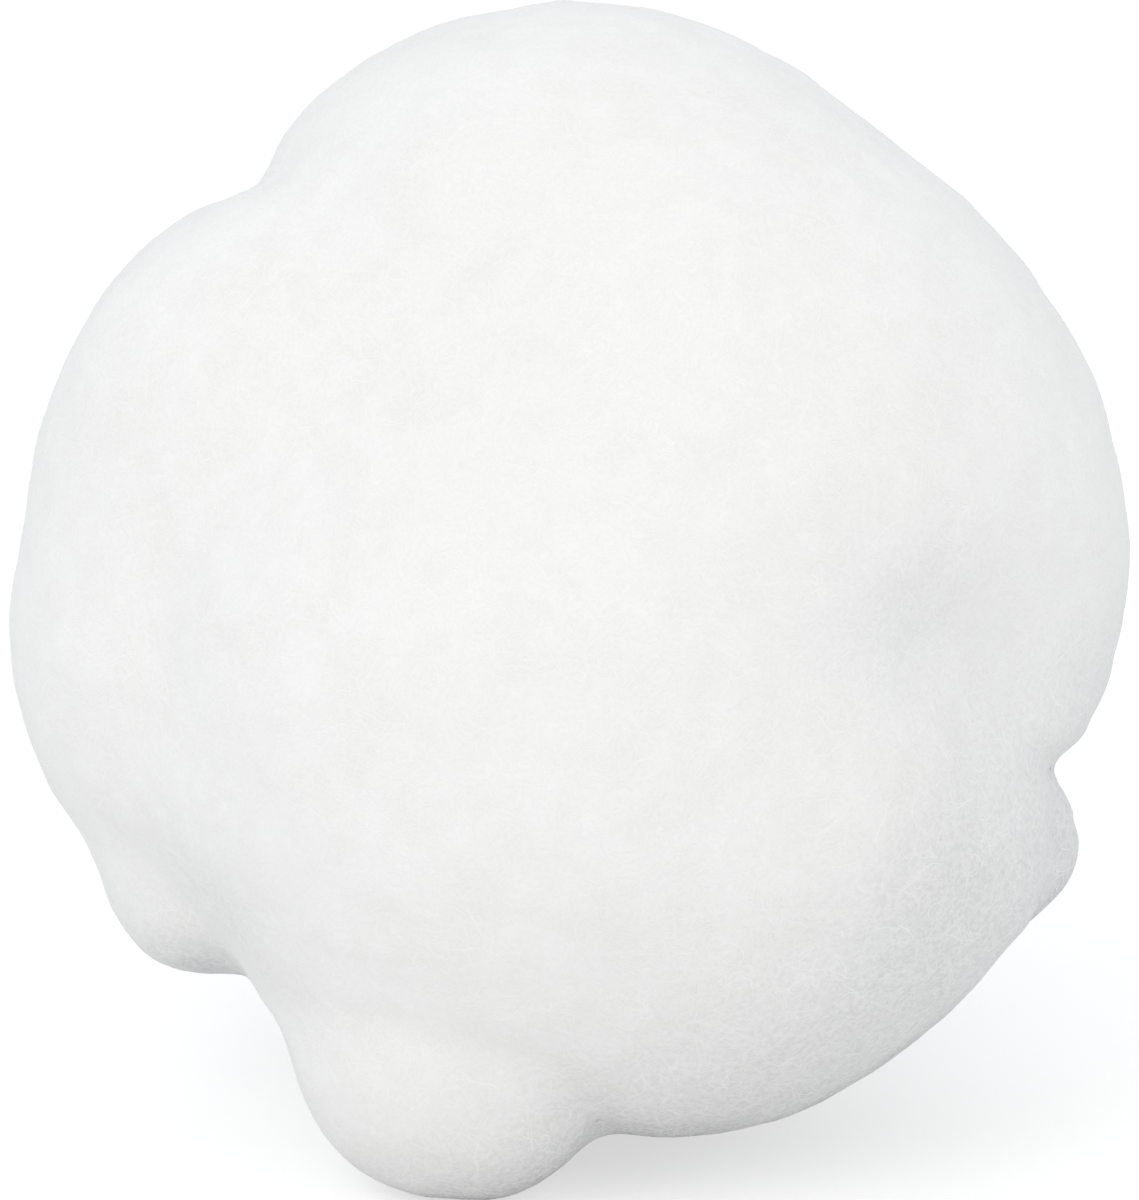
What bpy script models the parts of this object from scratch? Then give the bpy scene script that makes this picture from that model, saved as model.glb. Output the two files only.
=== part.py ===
"""Pool filter ball: a loose ball of white crimped fibre, about 45 mm across.

The ball is one piece. Its fibre is wadded into rounded puffs that press against each other,
so its surface is a round core with puffs standing proud of it, folds pressed between them,
and a small flat spot where its own weight presses it on the surface that it lies on.

Directions are given in the frame of the ball's folded face, as (across, rise, out) from the
middle of the core: across is to the right, rise is up along the face and out is away from it.
The face leans back by FACE_LEAN from upright. Lengths are in metres and angles in radians.
"""

from dataclasses import dataclass
from math import cos, radians, sin

import bmesh
import bpy
import numpy as np

# The packed core, and how softly one puff runs into the next
CORE_RADIUS = 0.0199
FOLD_SOFTNESS = 0.0005

# How deep the fibre under the ball is pressed in by the ball's own weight
REST_SAG = 0.0010

# How far the folded face leans back, and the facets along each side of the ball's grid
FACE_LEAN = radians(20)
FACETS_PER_SIDE = 31

# How round each puff is, and how far its crown stands proud of the core
DOME_RADIUS = 0.0189
DOME_PROUD = 0.0028
CROWN_RADIUS = 0.0159
CROWN_PROUD = 0.0043
RIGHT_CHEEK_RADIUS = 0.0155
RIGHT_CHEEK_PROUD = 0.0024
UPPER_LEFT_RADIUS = 0.0112
UPPER_LEFT_PROUD = 0.0033
LEFT_MIDDLE_RADIUS = 0.0091
LEFT_MIDDLE_PROUD = 0.0027
LEFT_RADIUS = 0.0109
LEFT_PROUD = 0.0030
LOWER_LEFT_RADIUS = 0.0053
LOWER_LEFT_PROUD = 0.0025
BOTTOM_RADIUS = 0.0069
BOTTOM_PROUD = 0.0057
LOWER_RIGHT_RADIUS = 0.0130
LOWER_RIGHT_PROUD = 0.0038
LOWER_MIDDLE_RADIUS = 0.0119
LOWER_MIDDLE_PROUD = 0.0035
RIGHT_CORNER_RADIUS = 0.0044
RIGHT_CORNER_PROUD = 0.0027
FRONT_RADIUS = 0.0172
FRONT_PROUD = 0.0032
SEAT_RADIUS = 0.0158
SEAT_PROUD = 0.0009
BACK_RIGHT_RADIUS = 0.0124
BACK_RIGHT_PROUD = 0.0022
BACK_LEFT_RADIUS = 0.0115
BACK_LEFT_PROUD = 0.0020
BACK_LOW_RADIUS = 0.0118
BACK_LOW_PROUD = 0.0019
BACK_SIDE_RADIUS = 0.0113
BACK_SIDE_PROUD = 0.0020

# How deep each fold is, and how wide from its lowest line to where it is a third as deep
RIGHT_HOLLOW_DEPTH = 0.0016
RIGHT_HOLLOW_WIDTH = 0.0045
HOLLOW_TAIL_DEPTH = 0.0008
HOLLOW_TAIL_WIDTH = 0.0032
RIGHT_NOTCH_DEPTH = 0.0025
RIGHT_NOTCH_WIDTH = 0.0015
BOTTOM_NOTCH_DEPTH = 0.0009
BOTTOM_NOTCH_WIDTH = 0.0012
LOWER_LEFT_NOTCH_DEPTH = 0.0010
LOWER_LEFT_NOTCH_WIDTH = 0.0014
UPPER_LEFT_NOTCH_DEPTH = 0.0009
UPPER_LEFT_NOTCH_WIDTH = 0.0013
BACK_HIGH_DEPTH = 0.0010
BACK_HIGH_WIDTH = 0.0018
BACK_LOW_FOLD_DEPTH = 0.0010
BACK_LOW_FOLD_WIDTH = 0.0018

FIBRE_COLOUR = (0.90, 0.90, 0.895, 1.0)
FIBRE_ROUGHNESS = 0.95


@dataclass(frozen=True)
class Puff:
    """A round bulge of fibre, in the direction of its crown."""

    towards: tuple[float, float, float]
    radius: float
    proud: float


@dataclass(frozen=True)
class Fold:
    """A valley in the surface, at its full depth at the start and running out at the end."""

    start: tuple[float, float, float]
    end: tuple[float, float, float]
    depth: float
    width: float


STRAIGHT_DOWN = (0.0, -cos(FACE_LEAN), -sin(FACE_LEAN))

PUFFS = (
    Puff((2.8, 2.4, 1.4), DOME_RADIUS, DOME_PROUD),
    Puff((-0.2, 8.1, 0.6), CROWN_RADIUS, CROWN_PROUD),
    Puff((6.8, 2.4, 0.6), RIGHT_CHEEK_RADIUS, RIGHT_CHEEK_PROUD),
    Puff((-9.8, 6.0, 3.6), UPPER_LEFT_RADIUS, UPPER_LEFT_PROUD),
    Puff((-12.5, 3.0, 4.0), LEFT_MIDDLE_RADIUS, LEFT_MIDDLE_PROUD),
    Puff((-11.6, -1.6, 2.4), LEFT_RADIUS, LEFT_PROUD),
    Puff((-13.8, -9.9, 2.0), LOWER_LEFT_RADIUS, LOWER_LEFT_PROUD),
    Puff((-4.5, -16.7, 7.0), BOTTOM_RADIUS, BOTTOM_PROUD),
    Puff((6.2, -6.6, 6.2), LOWER_RIGHT_RADIUS, LOWER_RIGHT_PROUD),
    Puff((3.4, -9.3, 6.0), LOWER_MIDDLE_RADIUS, LOWER_MIDDLE_PROUD),
    Puff((15.8, -8.1, 1.5), RIGHT_CORNER_RADIUS, RIGHT_CORNER_PROUD),
    Puff((-0.8, -3.0, 5.0), FRONT_RADIUS, FRONT_PROUD),
    Puff(STRAIGHT_DOWN, SEAT_RADIUS, SEAT_PROUD),
    Puff((4.3, 3.6, -7.9), BACK_RIGHT_RADIUS, BACK_RIGHT_PROUD),
    Puff((-5.9, 4.7, -7.1), BACK_LEFT_RADIUS, BACK_LEFT_PROUD),
    Puff((-3.0, -6.3, -7.1), BACK_LOW_RADIUS, BACK_LOW_PROUD),
    Puff((7.5, -4.7, -5.9), BACK_SIDE_RADIUS, BACK_SIDE_PROUD),
)

FOLDS = (
    Fold((17.7, -3.0, 12.4), (11.5, -1.6, 18.4), RIGHT_HOLLOW_DEPTH, RIGHT_HOLLOW_WIDTH),
    Fold((14.0, -2.0, 16.6), (3.0, 0.4, 21.8), HOLLOW_TAIL_DEPTH, HOLLOW_TAIL_WIDTH),
    Fold((19.3, -6.9, -2.0), (17.7, -5.6, 10.0), RIGHT_NOTCH_DEPTH, RIGHT_NOTCH_WIDTH),
    Fold((1.1, -21.1, 3.0), (-0.2, -19.0, 9.0), BOTTOM_NOTCH_DEPTH, BOTTOM_NOTCH_WIDTH),
    Fold((-13.1, -15.0, 0.0), (-13.4, -10.5, 10.0), LOWER_LEFT_NOTCH_DEPTH, LOWER_LEFT_NOTCH_WIDTH),
    Fold((-12.9, 16.7, 0.0), (-10.5, 16.3, 9.0), UPPER_LEFT_NOTCH_DEPTH, UPPER_LEFT_NOTCH_WIDTH),
    Fold((18.0, 8.0, -9.0), (-8.0, 9.0, -18.0), BACK_HIGH_DEPTH, BACK_HIGH_WIDTH),
    Fold((-17.0, -6.0, -11.0), (6.0, -3.0, -21.0), BACK_LOW_FOLD_DEPTH, BACK_LOW_FOLD_WIDTH),
)


def clear_scene():
    """Remove every object from the scene."""
    for old in list(bpy.data.objects):
        bpy.data.objects.remove(old, do_unlink=True)


def fibre_material():
    """Return the plain white fibre."""
    material = bpy.data.materials.new("white_fibre")
    material.use_nodes = True
    shader = material.node_tree.nodes["Principled BSDF"]
    shader.inputs["Base Color"].default_value = FIBRE_COLOUR
    shader.inputs["Roughness"].default_value = FIBRE_ROUGHNESS
    shader.inputs["Metallic"].default_value = 0.0
    material.diffuse_color = FIBRE_COLOUR
    return material


def world_direction(towards):
    """Turn an (across, rise, out) direction into a unit direction in the part's x, y, z."""
    across, rise, out = towards
    lean_sine, lean_cosine = sin(FACE_LEAN), cos(FACE_LEAN)
    back = rise * lean_sine - out * lean_cosine
    up = rise * lean_cosine + out * lean_sine
    direction = np.array([across, back, up])
    return direction / np.linalg.norm(direction)


def gridded_ball():
    """Return a cube's bmesh with an even grid of facets on each side."""
    ball = bmesh.new()
    bmesh.ops.create_cube(ball, size=2.0)
    bmesh.ops.subdivide_edges(
        ball, edges=ball.edges[:], cuts=FACETS_PER_SIDE - 1, use_grid_fill=True
    )
    return ball


def ball_directions(corners):
    """Spread the cube's points evenly over a sphere of radius 1."""
    spread = np.tan(corners * np.pi / 4)
    return spread / np.linalg.norm(spread, axis=1, keepdims=True)


def puff_reach(directions, puff):
    """Return how far out the puff's far side lies along each direction, or 0 where it is missed."""
    middle = (CORE_RADIUS + puff.proud - puff.radius) * world_direction(puff.towards)
    along = directions @ middle
    inside = along**2 - middle @ middle + puff.radius**2
    return np.where(inside > 0, along + np.sqrt(np.maximum(inside, 0)), 0)


def fold_drop(directions, fold):
    """Return how far the fold presses the surface in along each direction."""
    start, end = world_direction(fold.start), world_direction(fold.end)
    run = end - start
    share = np.clip((directions - start) @ run / (run @ run), 0, 1)
    nearest = start + share[:, None] * run
    away = CORE_RADIUS * np.linalg.norm(directions - nearest, axis=1)
    return fold.depth * (1 - share**2) ** 2 * np.exp(-((away / fold.width) ** 2))


def surface_reach(directions):
    """Return how far the fibre reaches from the middle of the ball along each direction."""
    reaches = [np.full(len(directions), CORE_RADIUS)]
    reaches += [puff_reach(directions, puff) for puff in PUFFS]
    outermost = np.max(reaches, axis=0)
    crowd = sum(np.exp((reach - outermost) / FOLD_SOFTNESS) for reach in reaches)
    reach = outermost + FOLD_SOFTNESS * np.log(crowd)
    return reach - sum(fold_drop(directions, fold) for fold in FOLDS)


def rest_on_floor(directions, reach):
    """Return the points, with those that would go through the floor stopped on it at z = 0."""
    rest_height = CORE_RADIUS + SEAT_PROUD - REST_SAG
    downward = np.maximum(-directions[:, 2], 1e-6)
    stop = rest_height / downward
    points = directions * np.minimum(reach, stop)[:, None]
    points[:, 2] += rest_height
    points[reach >= stop, 2] = 0.0
    return points


def make_fibre_ball():
    """Build the ball as one closed mesh that stands on z = 0."""
    ball = gridded_ball()
    mesh = bpy.data.meshes.new("fibre_ball")
    ball.to_mesh(mesh)
    ball.free()
    corners = np.empty(len(mesh.vertices) * 3)
    mesh.vertices.foreach_get("co", corners)
    directions = ball_directions(corners.reshape(-1, 3))
    points = rest_on_floor(directions, surface_reach(directions))
    low, high = points.min(axis=0), points.max(axis=0)
    points[:, :2] -= (low + high)[:2] / 2
    mesh.vertices.foreach_set("co", points.ravel())
    mesh.shade_smooth()
    mesh.update()
    mesh.materials.append(fibre_material())
    body = bpy.data.objects.new("fibre_ball", mesh)
    bpy.context.scene.collection.objects.link(body)
    return body


clear_scene()
make_fibre_ball()
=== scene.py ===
"""Looks of a pool filter ball: a loose ball of white crimped fibre, about 45 mm across.

The wad is the ball's felted body, with its puffs, folds and tufts. A coat of separate curly
strands lies on it, with neps and small knots of fibre. Everything is in metres, in the
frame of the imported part. Places on the ball's folded face are given as (across, rise): how far
to the right of the face's middle and how far up along the face, which leans back.
"""

import logging
from dataclasses import dataclass, replace
from enum import Enum
from math import cos, pi, radians, sin

import bpy
import numpy as np
from mathutils import Euler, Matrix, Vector
from mathutils.bvhtree import BVHTree

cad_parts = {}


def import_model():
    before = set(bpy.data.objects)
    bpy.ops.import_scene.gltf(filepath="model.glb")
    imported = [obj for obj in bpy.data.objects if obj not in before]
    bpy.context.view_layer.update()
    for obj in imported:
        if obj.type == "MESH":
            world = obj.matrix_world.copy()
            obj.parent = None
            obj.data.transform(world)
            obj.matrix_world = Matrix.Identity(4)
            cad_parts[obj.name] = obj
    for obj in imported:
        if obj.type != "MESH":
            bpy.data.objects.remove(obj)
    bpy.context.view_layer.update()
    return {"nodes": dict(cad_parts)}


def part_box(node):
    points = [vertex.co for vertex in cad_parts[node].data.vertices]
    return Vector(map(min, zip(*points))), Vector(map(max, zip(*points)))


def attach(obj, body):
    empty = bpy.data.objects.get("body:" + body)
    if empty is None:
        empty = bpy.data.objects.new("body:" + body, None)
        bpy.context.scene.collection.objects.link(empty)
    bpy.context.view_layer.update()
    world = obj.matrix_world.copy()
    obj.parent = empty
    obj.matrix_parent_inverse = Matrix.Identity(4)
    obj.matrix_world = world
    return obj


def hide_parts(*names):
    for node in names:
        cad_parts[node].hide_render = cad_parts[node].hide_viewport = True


LOG = logging.getLogger("filter_ball")

MM = 0.001
FACE_LEAN = radians(20)
PHOTO_WIDTH = 1139
PHOTO_HEIGHT = 1200


class Slot(Enum):
    """The material slots of the part."""

    FIBRE = "white_fibre"


class Body(Enum):
    """The bodies of the part."""

    ROOT = "root"


class Node(Enum):
    """The solids of the part."""

    BALL = "fibre_ball"


# Shader helpers


class Value:
    """A number that varies over a surface, with Python's arithmetic."""

    def __init__(self, nodes: "NodeTree", socket: bpy.types.NodeSocket) -> None:
        """Keep the tree and the socket.

        Args:
            nodes: The tree that the socket belongs to.
            socket: The output that gives the number.
        """
        self.nodes = nodes
        self.socket = socket

    def _with(self, operation: str, *values: object) -> "Value":
        """Return the result of a Math node on the values."""
        return self.nodes.math(operation, *values)

    def __add__(self, other: object) -> "Value":
        """Return self + other."""
        return self._with("ADD", self, other)

    __radd__ = __add__

    def __sub__(self, other: object) -> "Value":
        """Return self - other."""
        return self._with("SUBTRACT", self, other)

    def __rsub__(self, other: object) -> "Value":
        """Return other - self."""
        return self._with("SUBTRACT", other, self)

    def __mul__(self, other: object) -> "Value":
        """Return self * other."""
        return self._with("MULTIPLY", self, other)

    __rmul__ = __mul__

    def ramp(self, low: float, high: float) -> "Value":
        """Return 0 below low, 1 above high and a soft step between.

        Args:
            low: Where the step starts.
            high: Where the step ends.

        Returns:
            The stepped number.
        """
        return self.nodes.value(
            "ShaderNodeMapRange",
            "Result",
            {"interpolation_type": "SMOOTHSTEP"},
            {"Value": self, "From Min": low, "From Max": high},
        )

    def maximum(self, other: object) -> "Value":
        """Return the larger of self and other."""
        return self._with("MAXIMUM", self, other)


class NodeTree:
    """A node tree that is built by code."""

    def __init__(self, tree: bpy.types.NodeTree) -> None:
        """Empty the tree.

        Args:
            tree: The tree of a material or of the world.
        """
        self.tree = tree
        self.tree.nodes.clear()

    def node(
        self, kind: str, settings: dict[str, object], inputs: dict[str, object]
    ) -> bpy.types.Node:
        """Add a node.

        Args:
            kind: The node's type.
            settings: Its properties, which are set first.
            inputs: The values or links of its sockets, by name or by number.

        Returns:
            The node.
        """
        node = self.tree.nodes.new(kind)
        for name, setting in settings.items():
            setattr(node, name, setting)
        for name, value in inputs.items():
            self.feed(node.inputs[name], value)
        return node

    def feed(self, socket: bpy.types.NodeSocket, value: object) -> None:
        """Link a value to a socket, or set the socket to it.

        Args:
            socket: The input.
            value: A Value, an output socket, or a plain number, colour or vector.
        """
        if isinstance(value, Value):
            self.tree.links.new(value.socket, socket)
        elif isinstance(value, bpy.types.NodeSocket):
            self.tree.links.new(value, socket)
        else:
            socket.default_value = value

    def value(
        self, kind: str, output: str, settings: dict[str, object], inputs: dict[str, object]
    ) -> Value:
        """Add a node and return one of its outputs as a number.

        Args:
            kind: The node's type.
            output: The output's name.
            settings: The node's properties.
            inputs: The values or links of its sockets.

        Returns:
            The output.
        """
        return Value(self, self.node(kind, settings, inputs).outputs[output])

    def math(self, operation: str, *values: object) -> Value:
        """Add a Math node.

        Args:
            operation: What it does.
            values: What it does it to.

        Returns:
            The result.
        """
        inputs = dict(enumerate(values))
        return self.value("ShaderNodeMath", "Value", {"operation": operation}, inputs)

    def colours(self, share: object, first: object, second: object) -> bpy.types.NodeSocket:
        """Mix two colours.

        Args:
            share: How much of the second colour shows.
            first: The first colour.
            second: The second colour.

        Returns:
            The output that gives the mixed colour.
        """
        node = self.node("ShaderNodeMix", {"data_type": "RGBA"}, {})
        self.feed(node.inputs[0], share)
        self.feed(node.inputs[6], first)
        self.feed(node.inputs[7], second)
        return node.outputs[2]

    def noise(self, place: object, size: float, detail: float) -> Value:
        """Add a Noise Texture.

        Args:
            place: The coordinates.
            size: The size of the noise's largest spots, in metres.
            detail: How many finer layers it has.

        Returns:
            The noise, from 0 to 1.
        """
        return self.value(
            "ShaderNodeTexNoise",
            "Fac",
            {},
            {"Vector": place, "Scale": 1 / size, "Detail": detail},
        )


def new_material(name: str) -> tuple[bpy.types.Material, NodeTree]:
    """Make a material.

    Args:
        name: Its name.

    Returns:
        The material and its emptied tree.
    """
    material = bpy.data.materials.new(name)
    material.use_nodes = True
    return material, NodeTree(material.node_tree)


def finish_surface(nodes: NodeTree, inputs: dict[str, object]) -> bpy.types.Node:
    """Add the Principled shader and the output.

    Args:
        nodes: The material's tree.
        inputs: The shader's values and links.

    Returns:
        The shader.
    """
    shader = nodes.node("ShaderNodeBsdfPrincipled", {}, inputs)
    nodes.node("ShaderNodeOutputMaterial", {}, {"Surface": shader.outputs["BSDF"]})
    return shader


# Finishes


@dataclass(frozen=True)
class FeltFinish:
    """Matted white fibre: curved strands that lie in bunches and soft patches, with painted shade
    between the strands and a painted shade colour where the fibre is marked looser, low on the
    ball's right.
    """

    name: str = "felted_white_fibre"
    bright: tuple[float, float, float, float] = (0.949, 0.949, 0.947, 1.0)
    shaded: tuple[float, float, float, float] = (0.893, 0.890, 0.875, 1.0)
    painted_shade_colour: tuple[float, float, float, float] = (0.18, 0.186, 0.220, 1.0)
    strand_size: float = 2.2 * MM
    strand_turns: float = 20.0
    second_size: float = 0.99 * MM
    second_turns: float = 11.0
    second_share: float = 0.9
    strand_edge: tuple[float, float] = (0.1, 0.48)
    crimp_size: float = 0.4 * MM
    crimp_turns: float = 2.2
    patch_size: float = 5.5 * MM
    clump_size: float = 1.7 * MM
    cloud_edge: tuple[float, float] = (0.3, 0.7)
    speck_size: float = 0.24 * MM
    speck_edge: tuple[float, float] = (0.35, 0.65)
    strand_weight: float = 0.35
    patch_weight: float = 0.3
    clump_weight: float = 0.35
    painted_shade_weight: float = 0.35
    painted_shade_speck_weight: float = 0.5
    painted_shade_clump_weight: float = 0.4
    bump_strength: float = 0.35
    bump_depth: float = 0.03 * MM
    roughness: float = 0.99
    strand_gloss: float = 0.12
    specular: float = 0.2

    def strands(self, nodes: NodeTree, place: bpy.types.NodeSocket) -> Value:
        """Draw bunches of curved strands as the level lines of slow noise.

        Args:
            nodes: The material's tree.
            place: The coordinates.

        Returns:
            1 on a strand and 0 between strands.
        """
        slow = nodes.noise(place, self.strand_size, 0.0)
        quick = nodes.noise(place, self.second_size, 0.0)
        crimp = nodes.noise(place, self.crimp_size, 0.0) * self.crimp_turns
        first = nodes.math("PINGPONG", slow * self.strand_turns + crimp, 0.5)
        second = nodes.math("PINGPONG", quick * self.second_turns - crimp, 0.5)
        over = second.ramp(*self.strand_edge) * self.second_share
        return first.ramp(*self.strand_edge).maximum(over)

    def make(self) -> bpy.types.Material:
        """Build the material.

        Returns:
            The material.
        """
        material, nodes = new_material(self.name)
        place = nodes.node("ShaderNodeTexCoord", {}, {}).outputs["Object"]
        strands = self.strands(nodes, place)
        patches = nodes.noise(place, self.patch_size, 2.0)
        clumps = nodes.noise(place, self.clump_size, 1.0)
        # The felt is lighter on the strand lines and darker between them, a painted shade in the
        # fine grooves; the patches and clumps vary its tone at random.
        tone = (
            strands * self.strand_weight
            + patches.ramp(*self.cloud_edge) * self.patch_weight
            + clumps.ramp(*self.cloud_edge) * self.clump_weight
        )
        felt = nodes.colours(tone, self.shaded, self.bright)
        # Painted shade: where the fibre is marked looser, low on the ball's right, on its
        # underside, in the hollow and in the notches, the felt is darkened towards a bluish shade
        # colour, broken up by specks and clumps; depth is how far it is painted towards that shade.
        loose_and_shaded = nodes.value("ShaderNodeAttribute", "Fac", {"attribute_name": "looseness_and_shade"}, {})
        specks = nodes.noise(place, self.speck_size, 1.0).ramp(*self.speck_edge)
        depth = loose_and_shaded * (
            self.painted_shade_weight + specks * self.painted_shade_speck_weight + clumps * self.painted_shade_clump_weight
        )
        bump = nodes.node(
            "ShaderNodeBump",
            {},
            {"Strength": self.bump_strength, "Distance": self.bump_depth, "Height": strands},
        )
        finish_surface(
            nodes,
            {
                "Base Color": nodes.colours(depth, felt, self.painted_shade_colour),
                "Roughness": self.roughness - strands * self.strand_gloss,
                "Normal": bump.outputs["Normal"],
                "Specular IOR Level": self.specular,
            },
        )
        return material


@dataclass(frozen=True)
class StrandFinish:
    """One polyester strand: white and dull, each a little lighter or greyer than the next."""

    name: str = "white_strand"
    bright: tuple[float, float, float, float] = (0.970, 0.969, 0.966, 1.0)
    shaded: tuple[float, float, float, float] = (0.908, 0.907, 0.903, 1.0)
    painted_shade_colour: tuple[float, float, float, float] = (0.18, 0.186, 0.220, 1.0)
    own_weight: float = 0.8
    cloud_weight: float = 0.2
    cloud_size: float = 2.4 * MM
    cloud_edge: tuple[float, float] = (0.3, 0.7)
    roughness: float = 0.75
    cloud_gloss: float = 0.25
    specular: float = 0.3

    def make(self) -> bpy.types.Material:
        """Build the material.

        Returns:
            The material.
        """
        material, nodes = new_material(self.name)
        place = nodes.node("ShaderNodeTexCoord", {}, {}).outputs["Object"]
        own = nodes.value("ShaderNodeAttribute", "Fac", {"attribute_name": "strand_shade"}, {})
        # Painted shade: strands where the fibre is marked looser, low on the ball's right and in
        # its hollows, are darkened towards the same bluish shade colour.
        painted_shade_share = nodes.value("ShaderNodeAttribute", "Fac", {"attribute_name": "strand_painted_shade"}, {})
        along = nodes.noise(place, self.cloud_size, 1.0)
        tone = own * self.own_weight + along.ramp(*self.cloud_edge) * self.cloud_weight
        strand = nodes.colours(tone, self.shaded, self.bright)
        finish_surface(
            nodes,
            {
                "Base Color": nodes.colours(painted_shade_share, strand, self.painted_shade_colour),
                "Roughness": self.roughness - along * self.cloud_gloss,
                "Specular IOR Level": self.specular,
            },
        )
        return material


# Meshes and places


def points_of(mesh: bpy.types.Mesh) -> np.ndarray:
    """Return the mesh's points as rows of x, y, z."""
    points = np.empty(len(mesh.vertices) * 3)
    mesh.vertices.foreach_get("co", points)
    return points.reshape(-1, 3)


def put_points(mesh: bpy.types.Mesh, points: np.ndarray) -> None:
    """Move the mesh's points to the rows of x, y, z."""
    mesh.vertices.foreach_set("co", points.ravel())
    mesh.update()


def unit(rows: np.ndarray) -> np.ndarray:
    """Return the rows at length 1."""
    return rows / np.maximum(np.linalg.norm(rows, axis=-1, keepdims=True), 1e-12)


def tree_of(mesh: bpy.types.Mesh) -> BVHTree:
    """Return a search tree of the mesh's faces."""
    return BVHTree.FromPolygons(
        [vertex.co.copy() for vertex in mesh.vertices],
        [tuple(face.vertices) for face in mesh.polygons],
    )


class Face:
    """The ball's folded face, on which places are given as across and rise."""

    across_axis = np.array([1.0, 0.0, 0.0])
    rise_axis = np.array([0.0, sin(FACE_LEAN), cos(FACE_LEAN)])
    out_axis = np.array([0.0, -cos(FACE_LEAN), sin(FACE_LEAN)])
    stand_off = 0.1
    step_in = 0.09

    def __init__(self, tree: BVHTree, points: np.ndarray) -> None:
        """Find the middle of the face.

        Args:
            tree: A search tree of the ball's surface.
            points: The points of the ball's surface.
        """
        self.tree = tree
        rises = points @ self.rise_axis
        acrosses = points @ self.across_axis
        self.middle_rise = (rises.min() + rises.max()) / 2
        self.middle_across = (acrosses.min() + acrosses.max()) / 2

    def find(self, across: float, rise: float) -> np.ndarray:
        """Find a place on the surface.

        Args:
            across: How far right of the face's middle, in metres.
            rise: How far up along the face from its middle, in metres.

        Returns:
            The point, on the surface or nearest to it.
        """
        start = (
            self.across_axis * (across + self.middle_across)
            + self.rise_axis * (rise + self.middle_rise)
            + self.out_axis * self.stand_off
        )
        found = self.tree.ray_cast(Vector(start), Vector(-self.out_axis))[0]
        if found is None:
            found = self.tree.find_nearest(Vector(start - self.out_axis * self.step_in))[0]
        return np.array(found)


def select_only(piece: bpy.types.Object) -> None:
    """Make the piece the only selected and the active one."""
    bpy.ops.object.select_all(action="DESELECT")
    piece.select_set(True)
    bpy.context.view_layer.objects.active = piece


def apply_modifier(
    piece: bpy.types.Object, kind: str, settings: dict[str, object]
) -> None:
    """Add a modifier to the piece and apply it.

    Args:
        piece: The piece.
        kind: The modifier's type.
        settings: Its properties.
    """
    select_only(piece)
    modifier = piece.modifiers.new(kind.lower(), kind)
    for name, setting in settings.items():
        setattr(modifier, name, setting)
    bpy.ops.object.modifier_apply(modifier=modifier.name)


def hand_over(piece: bpy.types.Object) -> None:
    """Say what the piece rides on."""
    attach(piece, Body.ROOT.value)


def soft_step(numbers: np.ndarray, low: float, high: float) -> np.ndarray:
    """Return 0 below low, 1 above high and a soft step between."""
    share = np.clip((numbers - low) / (high - low), 0, 1)
    return share * share * (3 - 2 * share)


@dataclass(frozen=True)
class Spot:
    """A place where the fibre is looser and painted darker, in mm, with its reach and how much
    looser and darker it is.
    """

    place: tuple[float, float, float]
    reach: float
    slack_and_shade: float

    def of(self, places: np.ndarray) -> np.ndarray:
        """Return how much looser the spot makes the fibre, and how much darker it paints it, at
        each place.
        """
        away = np.linalg.norm(places - np.array(self.place) * MM, axis=-1)
        return self.slack_and_shade * np.exp(-((away / (self.reach * MM)) ** 2))


@dataclass(frozen=True)
class LoosenessAndShade:
    """How much looser the fibre is and how much painted shade it takes: packed and unshaded all
    over, but looser and painted darker low on the ball's right.

    It is looser and darker still in a band along the folded face's edge, on the underside that
    faces away from the light, and packed and unshaded again behind that. Spots add painted shade in
    the bottom notch, the hollow and by the lower lobes.
    """

    middle: tuple[float, float, float] = (0.0, 0.0, 0.0217)
    under: tuple[float, float, float] = (0.52, -0.05, -0.85)
    behind: tuple[float, float] = (-0.34, 0.0)
    start: float = 0.36
    turn: float = 0.83
    full: float = 0.95
    slack_and_shade: float = 0.23
    loosest_and_darkest: float = 0.80
    bottom_notch: Spot = Spot((1.1, -9.1, 2.6), 2.8, 0.60)
    low_edge: Spot = Spot((3.6, -11.6, 3.2), 3.2, 0.35)
    hollow: Spot = Spot((14.0, -15.5, 25.0), 4.8, 0.11)
    low_right: Spot = Spot((13.0, -15.9, 15.2), 4.0, 0.09)
    lower_left: Spot = Spot((-13.4, -13.4, 12.5), 3.4, 0.11)
    left_lobe: Spot = Spot((-14.4, -6.5, 8.0), 2.8, 0.35)
    bottom_lobe: Spot = Spot((-2.4, -12.8, 1.2), 3.6, 0.30)

    def of(self, places: np.ndarray) -> np.ndarray:
        """Work out how much looser the fibre is and how much painted shade it takes.

        Args:
            places: Places on the ball, as rows of x, y, z.

        Returns:
            From 0, packed and unshaded, to 1, looser and painted darkest, for each place.
        """
        ways = unit(places - np.array(self.middle))
        facing = ways @ np.array(self.under)
        band = soft_step(facing, self.turn, self.full)
        band = band * soft_step(ways @ Face.out_axis, *self.behind)
        share = self.slack_and_shade * soft_step(facing, self.start, self.turn)
        share = share + (self.loosest_and_darkest - self.slack_and_shade) * band
        right = (self.bottom_notch, self.low_edge, self.hollow, self.low_right)
        left = (self.lower_left, self.left_lobe, self.bottom_lobe)
        share = share + sum(spot.of(places) for spot in right + left)
        return np.minimum(share, 1.0)


# The wad


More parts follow.
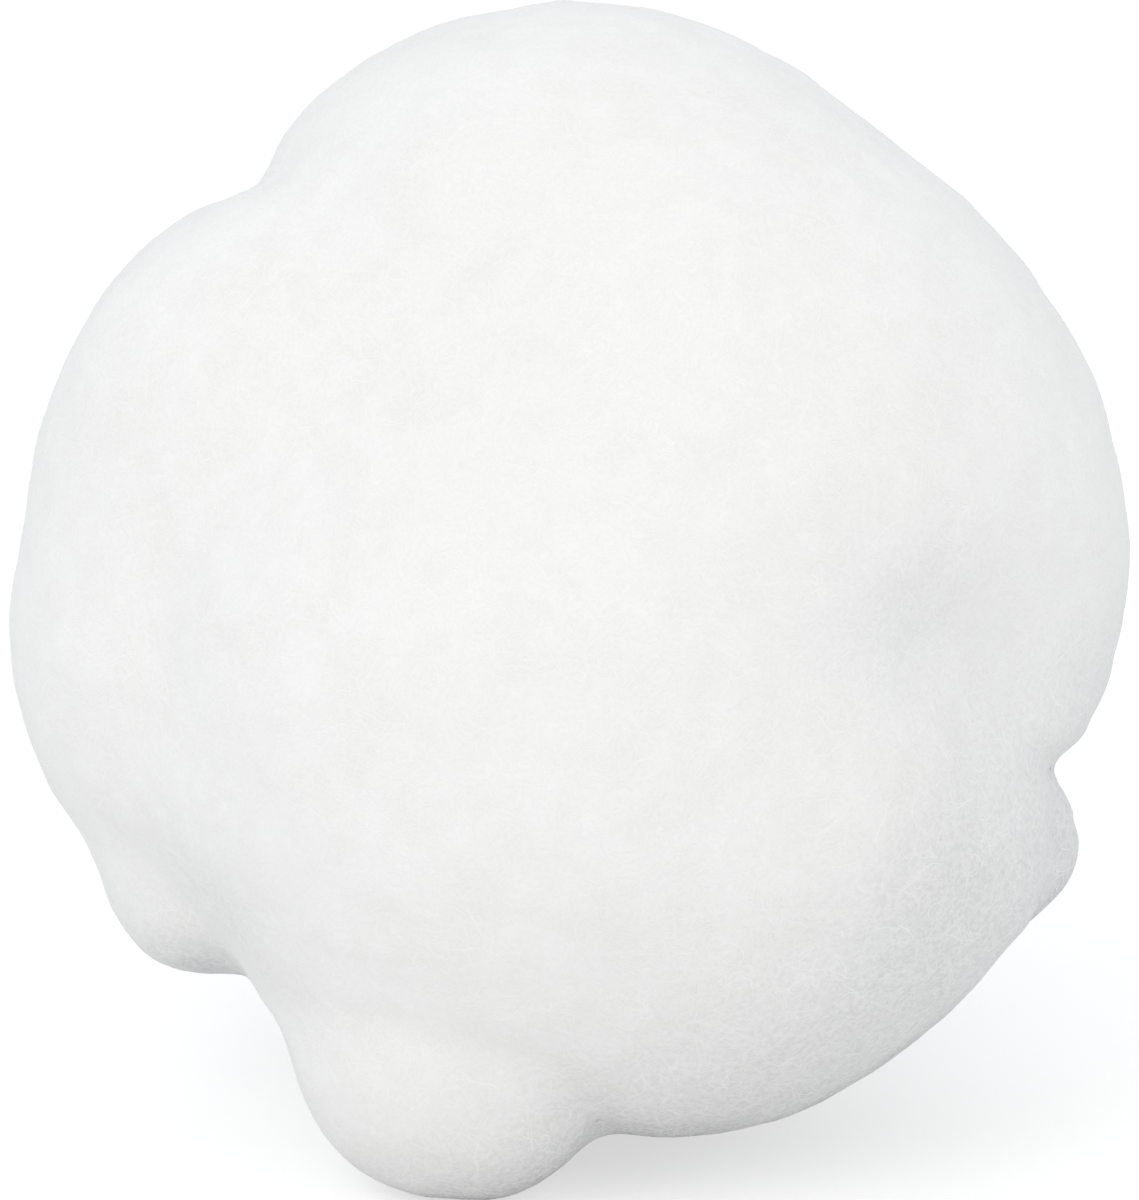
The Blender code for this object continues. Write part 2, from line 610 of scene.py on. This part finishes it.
@dataclass(frozen=True)
class Crease:
    """A fine fold in the wad's skin, drawn by its places on the folded face in mm.

    A crease of negative depth is a low ridge.
    """

    places: tuple[tuple[float, float], ...]
    depth: float
    width: float
    steps: int = 12
    fade: float = 0.8

    def drop(self, face: Face, points: np.ndarray) -> np.ndarray:
        """Work out how far the crease presses in each point of the skin.

        Args:
            face: The folded face.
            points: The points of the skin.

        Returns:
            How far in each point goes, in metres.
        """
        share_pressed = np.zeros(len(points))
        legs = len(self.places) - 1
        for step in range(legs * self.steps + 1):
            leg = min(step // self.steps, legs - 1)
            share = step / self.steps - leg
            first, second = np.array(self.places[leg]), np.array(self.places[leg + 1])
            across, rise = (first + (second - first) * share) * MM
            away = np.linalg.norm(points - face.find(across, rise), axis=1)
            left = 1 - (step / (legs * self.steps)) ** 2 * self.fade
            pressed = left * np.exp(-((away / self.width) ** 2))
            share_pressed = np.maximum(share_pressed, pressed)
        return self.depth * share_pressed


@dataclass
class Wad:
    """The felted body of the ball, with its puffs, folds and tufts."""

    first_cuts: int = 10
    second_cuts: int = 9
    smoothing: int = 8
    smoothing_share: float = 0.5
    flat_height: float = 0.05 * MM
    fill: float = 0.5
    tufts: tuple[tuple[float, float], ...] = (
        (6.5 * MM, 0.24 * MM),
        (2.6 * MM, 0.09 * MM),
        (1.1 * MM, 0.035 * MM),
    )
    creases: tuple[Crease, ...] = (
        Crease(((-13.2, 16.8), (-11.4, 16.6)), 0.30 * MM, 1.3 * MM),
        Crease(((-13.3, -15.2), (-13.5, -12.4)), 0.30 * MM, 1.2 * MM),
        Crease(((19.3, -7.05), (18.2, -6.2)), 0.25 * MM, 0.8 * MM),
        Crease(((19.75, -5.7), (18.6, -4.8)), -0.45 * MM, 1.3 * MM),
        Crease(((19.9, -8.1), (18.8, -7.7)), -0.30 * MM, 0.9 * MM),
        Crease(((19.9, -10.6), (18.8, -10.0)), 0.25 * MM, 1.0 * MM),
        Crease(((18.2, -12.7), (17.2, -12.0)), -0.40 * MM, 1.5 * MM),
        Crease(((1.1, -21.1), (0.5, -19.9)), 0.35 * MM, 1.0 * MM),
    )
    looseness_and_shade: LoosenessAndShade = LoosenessAndShade()
    finish: FeltFinish = FeltFinish()

    def build(self, solid: bpy.types.Object) -> bpy.types.Object:
        """Build the wad over the part's solid.

        Args:
            solid: The part's solid.

        Returns:
            The piece.
        """
        piece = self.grid()
        self.wrap(piece, solid)
        self.ruffle(piece)
        self.crease(piece)
        self.mark_painted_shade(piece)
        piece.data.materials.clear()
        piece.data.materials.append(self.finish.make())
        select_only(piece)
        bpy.ops.object.shade_smooth()
        hand_over(piece)
        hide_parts(Node.BALL.value)
        return piece

    def grid(self) -> bpy.types.Object:
        """Make a cube with an even grid of faces on each side.

        Returns:
            The piece.
        """
        bpy.ops.object.select_all(action="DESELECT")
        bpy.ops.mesh.primitive_cube_add(size=2.0)
        piece = bpy.context.active_object
        piece.name = piece.data.name = "felted_wad"
        bpy.ops.object.mode_set(mode="EDIT")
        bpy.ops.mesh.select_all(action="SELECT")
        bpy.ops.mesh.subdivide(number_cuts=self.first_cuts)
        bpy.ops.mesh.subdivide(number_cuts=self.second_cuts)
        bpy.ops.object.mode_set(mode="OBJECT")
        return piece

    def wrap(self, piece: bpy.types.Object, solid: bpy.types.Object) -> None:
        """Wrap the grid round the part's solid and round off the solid's facets.

        Args:
            piece: The grid.
            solid: The part's solid.
        """
        tree = tree_of(solid.data)
        low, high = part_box(solid.name)
        middle = (low + high) / 2
        directions = unit(np.tan(points_of(piece.data) * pi / 4))
        wrapped = np.empty_like(directions)
        for index, direction in enumerate(directions):
            hit = tree.ray_cast(middle, Vector(direction))[0]
            if hit is None:
                hit = tree.find_nearest(middle + Vector(direction) * high.x)[0]
            wrapped[index] = hit
        put_points(piece.data, wrapped)
        settings = {"factor": self.smoothing_share, "iterations": self.smoothing}
        apply_modifier(piece, "SMOOTH", settings)

    def ruffle(self, piece: bpy.types.Object) -> None:
        """Raise tufts of several sizes all over the skin.

        Args:
            piece: The wrapped grid.
        """
        flat = points_of(piece.data)[:, 2] < self.flat_height
        for size, height in self.tufts:
            cloud = bpy.data.textures.new(f"tufts_{size / MM:.1f}_mm", "CLOUDS")
            cloud.noise_scale = size
            cloud.noise_depth = 1
            apply_modifier(
                piece,
                "DISPLACE",
                {
                    "texture": cloud,
                    "texture_coords": "LOCAL",
                    "strength": height * 2,
                    "mid_level": 0.5,
                },
            )
        points = points_of(piece.data)
        points[:, 2] = np.where(flat, 0.0, np.maximum(points[:, 2], 0.0))
        put_points(piece.data, points)

    def crease(self, piece: bpy.types.Object) -> None:
        """Press the fine folds into the skin.

        Args:
            piece: The ruffled skin.
        """
        points = points_of(piece.data)
        face = Face(tree_of(piece.data), points)
        drop = sum(crease.drop(face, points) for crease in self.creases)
        middle = (points.min(axis=0) + points.max(axis=0)) / 2
        points = points - unit(points - middle) * drop[:, None]
        points[:, 2] = np.maximum(points[:, 2], 0.0)
        put_points(piece.data, points)

    def mark_painted_shade(self, piece: bpy.types.Object) -> None:
        """Mark all over the skin how much looser the fibre is, which sets how far the felt is
        painted towards shade.

        Args:
            piece: The finished skin.
        """
        loose_and_shaded = piece.data.attributes.new("looseness_and_shade", "FLOAT", "POINT")
        share = self.looseness_and_shade.of(points_of(piece.data))
        loose_and_shaded.data.foreach_set("value", share.astype(np.float32))


# The strands


@dataclass(frozen=True)
class Lie:
    """How the strands of one layer lie.

    Each strand has a number of rings, a step apart, and is laid at a random height from low to
    high, and its middle is lifted a little more. Where the fibre is marked looser, each strand is
    painted darker towards a shade colour, by a random share up to the layer's most painted shade.
    """

    count: int
    step: float
    rings: int
    radius: float
    bend: float
    crimp: float
    low: float
    high: float
    lift: float
    flatness: float
    shade: tuple[float, float]
    painted_shade_most: float


@dataclass(frozen=True)
class Pull:
    """A place on the folded face, in mm, that the strands around it lead to."""

    across: float
    rise: float
    reach: float


class Strands:
    """Many thin closed tubes, gathered for one mesh."""

    sides = 3
    tip_share = 0.65
    tip_length = 2.0
    roundness = 1.2
    uv_inset = 0.08

    def __init__(self) -> None:
        """Start with no strand."""
        self.points: list[np.ndarray] = []
        self.faces: list[np.ndarray] = []
        self.uvs: list[np.ndarray] = []
        self.shades: list[np.ndarray] = []
        self.painted_shades: list[np.ndarray] = []
        self.normals: list[np.ndarray] = []
        self.total_points = 0
        self.total_strands = 0

    def add(
        self,
        lines: np.ndarray,
        normals: np.ndarray,
        radii: np.ndarray,
        flatness: float,
        shades: np.ndarray,
        painted_shades: np.ndarray,
    ) -> None:
        """Add a tube along each line.

        Args:
            lines: The lines, each with the same number of points: strand, point, x y z.
            normals: The surface's normal at each point of each line.
            radii: How thick each strand is, from its middle to its skin.
            flatness: How tall each strand is for its width.
            shades: How light each strand is, from 0 to 1.
            painted_shades: How far each strand is painted towards a shade colour, where the fibre
                is marked looser, from 0 to 1.
        """
        count, rings = lines.shape[:2]
        along = unit(np.gradient(lines, axis=1))
        side = unit(np.cross(along, normals))
        over = np.cross(side, along)
        taper = np.full(rings, 1.0)
        taper[0] = taper[-1] = self.tip_share
        turns = np.arange(self.sides) * 2 * pi / self.sides + pi / 2
        thick = (radii[:, None] * taper)[:, :, None, None]
        offsets = (
            side[:, :, None, :] * np.cos(turns)[:, None]
            + over[:, :, None, :] * np.sin(turns)[:, None] * flatness
        )
        tubes = lines[:, :, None, :] + offsets * thick
        shown = unit(offsets * flatness + over[:, :, None, :] * (self.roundness - flatness))
        start = lines[:, 0] - along[:, 0] * radii[:, None] * self.tip_length
        end = lines[:, -1] + along[:, -1] * radii[:, None] * self.tip_length
        points = np.concatenate([tubes.reshape(count, -1, 3), start[:, None], end[:, None]], axis=1)
        each = rings * self.sides + 2
        faces, places = self.pattern(rings)
        first = self.total_points + np.arange(count) * each
        ups = [shown.reshape(count, -1, 3), over[:, :1], over[:, -1:]]
        self.normals.append(np.concatenate(ups, axis=1).reshape(-1, 3))
        self.points.append(points.reshape(-1, 3))
        self.faces.append((faces[None] + first[:, None, None]).reshape(-1, 3))
        self.uvs.append(np.broadcast_to(places, (count, *places.shape)))
        self.shades.append(np.repeat(shades, each))
        self.painted_shades.append(np.repeat(painted_shades, each))
        self.total_points += count * each
        self.total_strands += count

    def pattern(self, rings: int) -> tuple[np.ndarray, np.ndarray]:
        """Work out the faces of one strand.

        Args:
            rings: How many rings of points it has.

        Returns:
            The faces' points, and the place of each face's corners in a unit square.
        """
        sides = self.sides
        start, end = rings * sides, rings * sides + 1
        faces, places = [], []
        for ring in range(rings + 1):
            low, high = ring / (rings + 1), (ring + 1) / (rings + 1)
            for turn in range(sides):
                after = (turn + 1) % sides
                left, right = turn / sides, (turn + 1) / sides
                if ring == 0:
                    faces.append((start, turn, after))
                    places.append(((left, low), (left, high), (right, high)))
                elif ring == rings:
                    last = (rings - 1) * sides
                    faces.append((end, last + after, last + turn))
                    places.append(((left, high), (right, low), (left, low)))
                else:
                    near, far = (ring - 1) * sides, ring * sides
                    faces.append((near + turn, far + after, near + after))
                    places.append(((left, low), (right, high), (right, low)))
                    faces.append((near + turn, far + turn, far + after))
                    places.append(((left, low), (left, high), (right, high)))
        return np.array(faces), np.array(places)

    def to_piece(self, name: str, material: bpy.types.Material) -> bpy.types.Object:
        """Make the gathered strands one piece.

        Args:
            name: The piece's name.
            material: Its material.

        Returns:
            The piece.
        """
        points = np.concatenate(self.points)
        points[:, 2] = np.maximum(points[:, 2], 0.0)
        faces = np.concatenate(self.faces)
        mesh = bpy.data.meshes.new(name)
        mesh.vertices.add(len(points))
        mesh.vertices.foreach_set("co", points.ravel())
        mesh.loops.add(faces.size)
        mesh.loops.foreach_set("vertex_index", faces.ravel())
        mesh.polygons.add(len(faces))
        mesh.polygons.foreach_set("loop_start", np.arange(len(faces)) * 3)
        mesh.update(calc_edges=True)
        mesh.polygons.foreach_set("use_smooth", np.ones(len(faces), dtype=bool))
        mesh.normals_split_custom_set_from_vertices(np.concatenate(self.normals))
        self.lay_out(mesh)
        for label, numbers in (("strand_shade", self.shades), ("strand_painted_shade", self.painted_shades)):
            layer = mesh.attributes.new(label, "FLOAT", "POINT")
            layer.data.foreach_set("value", np.concatenate(numbers).astype(np.float32))
        mesh.materials.append(material)
        piece = bpy.data.objects.new(name, mesh)
        bpy.context.scene.collection.objects.link(piece)
        piece.visible_diffuse = piece.visible_shadow = False
        hand_over(piece)
        return piece

    def lay_out(self, mesh: bpy.types.Mesh) -> None:
        """Give each strand its own square of the piece's UV map.

        Args:
            mesh: The strands' mesh.
        """
        across = int(np.ceil(np.sqrt(self.total_strands)))
        corners, strand = [], 0
        for places in self.uvs:
            numbers = strand + np.arange(len(places))
            cell = np.stack([numbers % across, numbers // across], axis=1)
            inset = self.uv_inset + places * (1 - 2 * self.uv_inset)
            corners.append(((cell[:, None, None, :] + inset) / across).reshape(-1, 2))
            strand += len(places)
        layer = mesh.uv_layers.new(name="OFBake")
        layer.data.foreach_set("uv", np.concatenate(corners).astype(np.float32).ravel())


@dataclass
class FibreCoat:
    """The coat of separate curly strands on the wad, with neps and small knots."""

    seed: int = 45
    bunches: int = 4
    coat: Lie = Lie(
        count=5100,
        step=0.50 * MM,
        rings=5,
        radius=0.033 * MM,
        bend=0.7,
        crimp=0.9,
        low=-0.004 * MM,
        high=0.010 * MM,
        lift=0.003 * MM,
        flatness=0.25,
        shade=(0.1, 0.6),
        painted_shade_most=0.95,
    )
    nep: Lie = Lie(
        count=500,
        step=0.09 * MM,
        rings=4,
        radius=0.036 * MM,
        bend=1.2,
        crimp=0.8,
        low=0.0,
        high=0.01 * MM,
        lift=0.002 * MM,
        flatness=0.25,
        shade=(0.4, 0.9),
        painted_shade_most=0.7,
    )
    loose_and_shaded: Lie = Lie(
        count=900,
        step=0.42 * MM,
        rings=5,
        radius=0.024 * MM,
        bend=0.9,
        crimp=1.1,
        low=0.0,
        high=0.016 * MM,
        lift=0.004 * MM,
        flatness=0.25,
        shade=(0.4, 1.0),
        painted_shade_most=0.5,
    )
    knot: Lie = replace(nep, count=8, step=0.14 * MM, high=0.02 * MM, shade=(0.6, 0.9), painted_shade_most=0.5)
    knot_spread: float = 0.12 * MM
    painted_shade_least: float = 0.6
    pace: tuple[float, float] = (0.9, 1.7)
    thickness: tuple[float, float] = (0.75, 1.2)
    pull_turn: float = 0.75
    pull_strength: float = 1.6
    looseness_and_shade: LoosenessAndShade = LoosenessAndShade()
    pulls: tuple[Pull, ...] = (
        Pull(19.1, -7.0, 6.0),
        Pull(1.1, -21.2, 2.0),
    )
    knots: tuple[tuple[float, float], ...] = (
        (0.8, 9.4), (2.3, 6.1), (3.9, 5.8), (-7.7, 7.7), (15.6, 3.4), (-12.8, -7.9),
        (-5.5, -12.2), (2.8, -15.8), (9.6, 0.4), (-3.2, 14.8), (12.2, 11.0),
    )
    strand_finish: StrandFinish = StrandFinish()

    def build(self, wad: bpy.types.Object) -> list[bpy.types.Object]:
        """Build the coat on the wad.

        Args:
            wad: The wad.

        Returns:
            The pieces.
        """
        self.rng = np.random.default_rng(self.seed)
        self.tree = tree_of(wad.data)
        points = points_of(wad.data)
        self.face = Face(self.tree, points)
        self.skin = points
        corners = np.empty(len(wad.data.polygons) * 4, dtype=np.int64)
        wad.data.polygons.foreach_get("vertices", corners)
        self.corners = corners.reshape(-1, 4)
        areas = np.empty(len(wad.data.polygons))
        wad.data.polygons.foreach_get("area", areas)
        self.odds = areas / areas.sum()
        middles = np.empty(len(areas) * 3)
        wad.data.polygons.foreach_get("center", middles)
        weights = areas * self.looseness_and_shade.of(middles.reshape(-1, 3))
        self.loose_odds = weights / weights.sum()
        material = self.strand_finish.make()
        pieces = []
        for bunch in range(self.bunches):
            strands = Strands()
            self.lay(strands, self.scatter(self.coat.count, self.odds), self.coat)
            self.lay(strands, self.scatter(self.nep.count, self.odds), self.nep)
            self.lay(strands, self.scatter(self.loose_and_shaded.count, self.loose_odds), self.loose_and_shaded)
            if bunch == 0:
                self.tie_knots(strands)
            pieces.append(strands.to_piece(f"curly_strands_{bunch + 1}", material))
        return pieces

    def scatter(self, count: int, odds: np.ndarray) -> np.ndarray:
        """Pick places on the wad at random.

        Args:
            count: How many.
            odds: How likely a place is on each face.

        Returns:
            The places.
        """
        picked = self.corners[self.rng.choice(len(self.corners), count, p=odds)]
        across, up = self.rng.random((2, count, 1))
        low = self.skin[picked[:, 0]] * (1 - across) + self.skin[picked[:, 1]] * across
        high = self.skin[picked[:, 3]] * (1 - across) + self.skin[picked[:, 2]] * across
        return low * (1 - up) + high * up

    def settle(self, points: np.ndarray) -> tuple[np.ndarray, np.ndarray]:
        """Drop points onto the wad.

        Args:
            points: The points.

        Returns:
            The nearest points of the skin, and its normals there.
        """
        places, normals = np.empty_like(points), np.empty_like(points)
        for index, point in enumerate(points):
            places[index], normals[index] = self.tree.find_nearest(Vector(point))[:2]
        return places, normals

    def headings(self, starts: np.ndarray, normals: np.ndarray) -> np.ndarray:
        """Pick the way that each strand sets out.

        Args:
            starts: Where the strands start.
            normals: The skin's normals there.

        Returns:
            The directions, at random but for those near a pull, which lead to it.
        """
        ways = self.rng.normal(size=starts.shape)
        for pull in self.pulls:
            goal = self.face.find(pull.across * MM, pull.rise * MM)
            run = goal - starts
            away = np.linalg.norm(run, axis=1)
            share = np.exp(-((away / (pull.reach * MM)) ** 2))[:, None]
            ways = ways * (1 - self.pull_turn * share) + unit(run) * share * self.pull_strength
        return unit(ways - normals * np.sum(ways * normals, axis=1, keepdims=True))

    def lay(self, strands: Strands, starts: np.ndarray, lie: Lie) -> None:
        """Lay a strand from each start over the wad.

        Args:
            strands: Where the strands are gathered.
            starts: Where they start.
            lie: How they lie.
        """
        count = len(starts)
        places, normals = self.settle(starts)
        ways = self.headings(places, normals)
        turn = self.rng.normal(0, lie.bend, (count, 1)) * lie.step / MM
        phase = self.rng.uniform(0, 2 * pi, (count, 1))
        pace = self.rng.uniform(*self.pace, (count, 1)) * lie.step / MM
        lines, ups = [], []
        for ring in range(lie.rings):
            lines.append(places)
            ups.append(normals)
            swing = turn + lie.crimp * pace * np.cos(phase + ring * pace * 2)
            side = np.cross(normals, ways)
            ways = ways * np.cos(swing) + side * np.sin(swing)
            places, normals = self.settle(places + ways * lie.step)
            ways = unit(ways - normals * np.sum(ways * normals, axis=1, keepdims=True))
        line, up = np.stack(lines, axis=1), np.stack(ups, axis=1)
        arch = np.sin(np.linspace(0, pi, lie.rings))[None, :, None]
        base = self.rng.uniform(lie.low, lie.high, (count, 1, 1))
        lift = self.rng.exponential(lie.lift, (count, 1, 1))
        line = line + up * (base + np.minimum(lift, lie.lift * 2) * arch)
        radii = lie.radius * self.rng.uniform(*self.thickness, count)
        shades = self.rng.uniform(*lie.shade, count)
        # Painted shade: each strand is darkened towards the shade colour by a random share, times
        # how much looser the fibre is marked where it lies.
        painted_shades = self.rng.uniform(lie.painted_shade_most * self.painted_shade_least, lie.painted_shade_most, count)
        painted_shades = painted_shades * self.looseness_and_shade.of(line[:, lie.rings // 2])
        strands.add(line, up, radii, lie.flatness, shades, painted_shades)

    def tie_knots(self, strands: Strands) -> None:
        """Tie small bright knots of fibre into the coat.

        Args:
            strands: Where the strands are gathered.
        """
        for across, rise in self.knots:
            place = self.face.find(across * MM, rise * MM)
            spread = self.rng.normal(0, self.knot_spread, (self.knot.count, 3))
            self.lay(strands, place + spread, self.knot)


# The studio


@dataclass
class Studio:
    """The floor, the lights, the world and the camera."""

    floor_size: float = 6.0
    floor_bounce: float = 0.88
    floor_shade: float = 0.50
    floor_glow: float = 0.60
    sky: float = 0.864
    sky_slope: float = 0.13
    sky_lean: tuple[float, float, float] = (0.05, -0.75, 0.66)
    sky_spread: tuple[float, float] = (-0.5, 0.5)
    sky_cool: tuple[float, float, float, float] = (0.81, 0.90, 1.0, 1.0)
    sky_warm: tuple[float, float, float, float] = (1.0, 0.997, 0.991, 1.0)
    key_strength: float = 0.20
    key_warmth: tuple[float, float, float] = (1.0, 0.995, 0.985)
    key_size: float = 0.5
    key_place: tuple[float, float, float] = (-0.45, -0.75, 0.95)
    lens: float = 400.0
    sensor: float = 36.0
    first_distance: float = 0.5
    clip: tuple[float, float] = (0.01, 20.0)

    def build(self, ball: list[bpy.types.Object]) -> None:
        """Set up the studio round the ball.

        Args:
            ball: The ball's pieces.
        """
        self.lay_floor()
        self.light_world()
        self.hang_key()
        self.place_camera(ball)
        bpy.context.scene.view_settings.view_transform = "Standard"

    def seen(self, nodes: NodeTree) -> Value:
        """Return 1 for rays that show the background, and 0 for rays that light the ball."""
        path = nodes.node("ShaderNodeLightPath", {}, {}).outputs
        seen = Value(nodes, path["Is Camera Ray"])
        return seen.maximum(path["Is Glossy Ray"]).maximum(path["Is Transmission Ray"])

    def lay_floor(self) -> None:
        """Lay a white floor that keeps the ball's soft shadow."""
        bpy.ops.object.select_all(action="DESELECT")
        bpy.ops.mesh.primitive_plane_add(size=self.floor_size, location=(0, 0, 0))
        floor = bpy.context.active_object
        floor.name = "studio_floor"
        material, nodes = new_material("white_paper")
        grey = (self.floor_bounce,) * 3 + (1.0,)
        shade = (self.floor_shade,) * 3 + (1.0,)
        lit = {"Color": (1, 1, 1, 1), "Strength": self.floor_glow}
        matt = nodes.node("ShaderNodeBsdfDiffuse", {}, {"Color": grey})
        paper = nodes.node("ShaderNodeBsdfDiffuse", {}, {"Color": shade})
        glow = nodes.node("ShaderNodeEmission", {}, lit)
        shown = nodes.node(
            "ShaderNodeAddShader", {}, {0: paper.outputs[0], 1: glow.outputs[0]}
        )
        mixed = nodes.node(
            "ShaderNodeMixShader",
            {},
            {0: self.seen(nodes), 1: matt.outputs[0], 2: shown.outputs[0]},
        )
        nodes.node("ShaderNodeOutputMaterial", {}, {"Surface": mixed.outputs[0]})
        floor.data.materials.append(material)

    def light_world(self) -> None:
        """Light the ball from all round, a little more from above and from the front."""
        world = bpy.data.worlds.new("soft_studio")
        bpy.context.scene.world = world
        world.use_nodes = True
        nodes = NodeTree(world.node_tree)
        way = nodes.node("ShaderNodeTexCoord", {}, {}).outputs["Generated"]
        lean = nodes.value(
            "ShaderNodeVectorMath",
            "Value",
            {"operation": "DOT_PRODUCT"},
            {0: way, 1: self.sky_lean},
        )
        tint = nodes.colours(lean.ramp(*self.sky_spread), self.sky_cool, self.sky_warm)
        soft = nodes.node(
            "ShaderNodeBackground",
            {},
            {"Color": tint, "Strength": self.sky + lean * self.sky_slope},
        )
        white = nodes.node("ShaderNodeBackground", {}, {"Color": (1, 1, 1, 1), "Strength": 1.0})
        mixed = nodes.node(
            "ShaderNodeMixShader",
            {},
            {0: self.seen(nodes), 1: soft.outputs[0], 2: white.outputs[0]},
        )
        nodes.node("ShaderNodeOutputWorld", {}, {"Surface": mixed.outputs[0]})

    def hang_key(self) -> None:
        """Hang a wide soft lamp above the ball, in front and to the left."""
        lamp = bpy.data.lights.new("softbox", "AREA")
        lamp.shape = "DISK"
        lamp.size = self.key_size
        place = Vector(self.key_place)
        lamp.energy = self.key_strength * 4 * place.length_squared
        lamp.color = self.key_warmth
        softbox = bpy.data.objects.new("softbox", lamp)
        softbox.location = place
        softbox.rotation_euler = (-place).to_track_quat("-Z", "Y").to_euler()
        bpy.context.scene.collection.objects.link(softbox)

    def place_camera(self, ball: list[bpy.types.Object]) -> None:
        """Point a long lens at the ball's folded face, so that the ball fills the frame.

        Args:
            ball: The ball's pieces.
        """
        points = np.concatenate([points_of(piece.data) for piece in ball])
        seen = points @ np.stack([Face.across_axis, Face.rise_axis, Face.out_axis], axis=1)
        half = self.sensor / 2 / self.lens
        middle = np.zeros(2)
        distance = self.first_distance
        for _ in range(6):
            flat = (seen[:, :2] - middle) / (distance - seen[:, 2])[:, None]
            low, high = flat.min(axis=0), flat.max(axis=0)
            middle += (low + high) / 2 * distance
            spans = (high - low) / 2 / np.array([PHOTO_WIDTH / PHOTO_HEIGHT, 1.0])
            distance *= spans.max() / half
        camera = bpy.data.cameras.new("long_lens")
        camera.lens = self.lens
        camera.sensor_width = self.sensor
        camera.clip_start, camera.clip_end = self.clip
        viewer = bpy.data.objects.new("long_lens", camera)
        viewer.location = (
            Face.across_axis * middle[0] + Face.rise_axis * middle[1] + Face.out_axis * distance
        )
        viewer.rotation_euler = Euler((pi / 2 - FACE_LEAN, 0.0, 0.0))
        bpy.context.scene.collection.objects.link(viewer)
        bpy.context.scene.camera = viewer


def main() -> None:
    """Dress the ball and set up the studio."""
    logging.basicConfig(level=logging.INFO, format="%(name)s: %(message)s")
    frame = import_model()
    wad = Wad().build(frame["nodes"][Node.BALL.value])
    LOG.info("%s: %d faces", wad.name, len(wad.data.polygons))
    ball = [wad, *FibreCoat().build(wad)]
    for piece in ball[1:]:
        LOG.info("%s: %d faces", piece.name, len(piece.data.polygons))
    Studio().build(ball)


if __name__ == "__main__":
    main()
